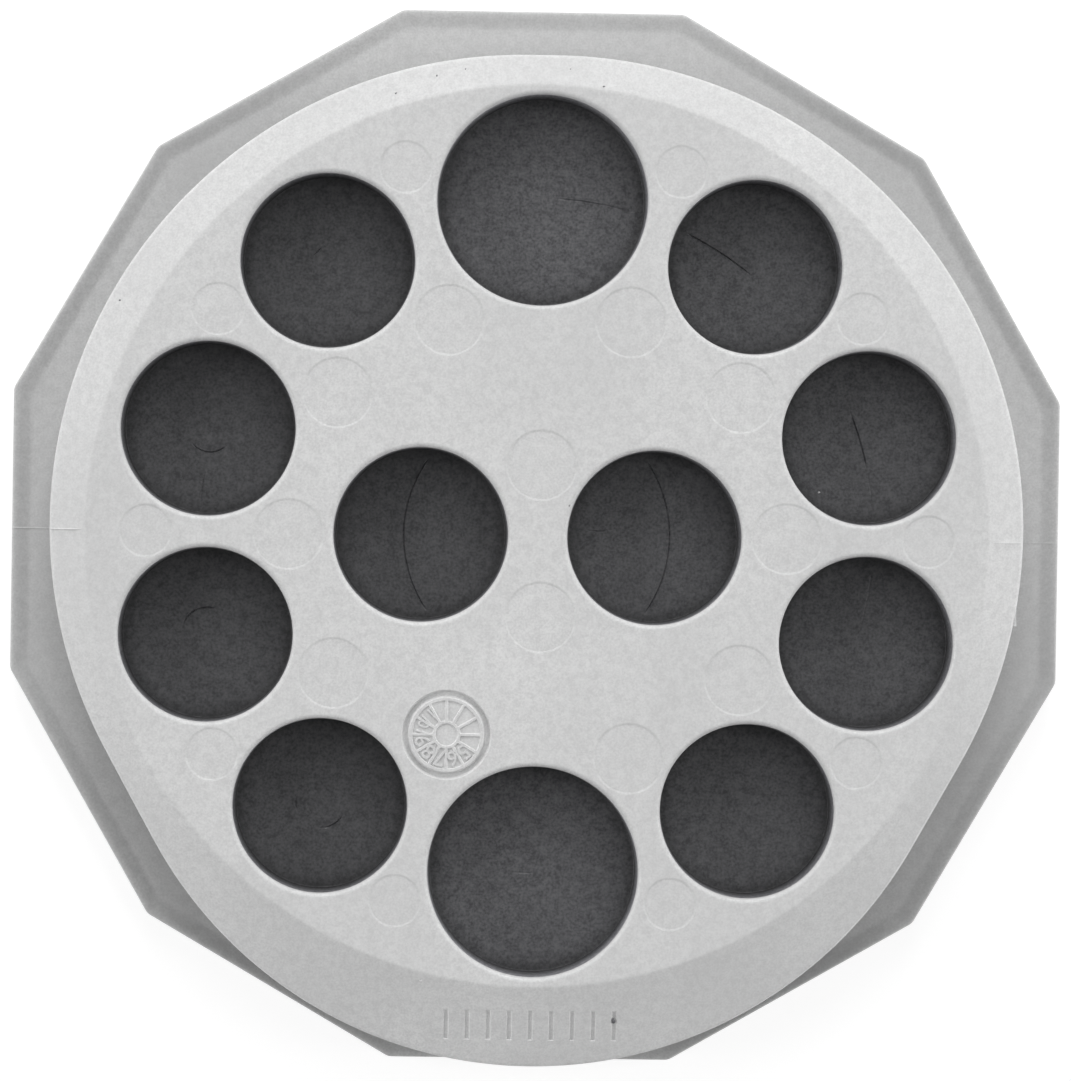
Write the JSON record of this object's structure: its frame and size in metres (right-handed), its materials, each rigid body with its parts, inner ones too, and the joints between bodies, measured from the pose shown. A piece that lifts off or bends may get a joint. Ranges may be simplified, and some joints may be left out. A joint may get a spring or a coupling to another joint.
{
  "type": "cable entry grommet",
  "caption": "Round snap-in cable entry grommet with a twelve-sided flange and a hooked lip, and windows lined and closed by thin dished membranes that cables are pushed through.",
  "frame": {"origin": "centre of the sheet hole's axis on the flat outer face of the flange", "axes": "+Z out of the inner face into the enclosure, -Y towards the hook nose, +X to the right when the inner face is seen with the nose below"},
  "size_m": [0.073, 0.0732, 0.0075],
  "materials": {
    "soft_body": "light grey thermoplastic elastomer, satin with fine moulding marks",
    "soft_membrane": "dark grey elastomer, matt, as a membrane and as the sleeve that lines a window"
  },
  "bodies": {
    "root": {"body": "soft_body", "small_membrane_1": "soft_membrane", "small_membrane_2": "soft_membrane", "small_membrane_3": "soft_membrane", "small_membrane_4": "soft_membrane", "small_membrane_5": "soft_membrane", "small_membrane_6": "soft_membrane", "small_membrane_7": "soft_membrane", "small_membrane_8": "soft_membrane", "centre_membrane_1": "soft_membrane", "centre_membrane_2": "soft_membrane", "large_membrane_1": "soft_membrane", "large_membrane_2": "soft_membrane"}
  },
  "joints": []
}
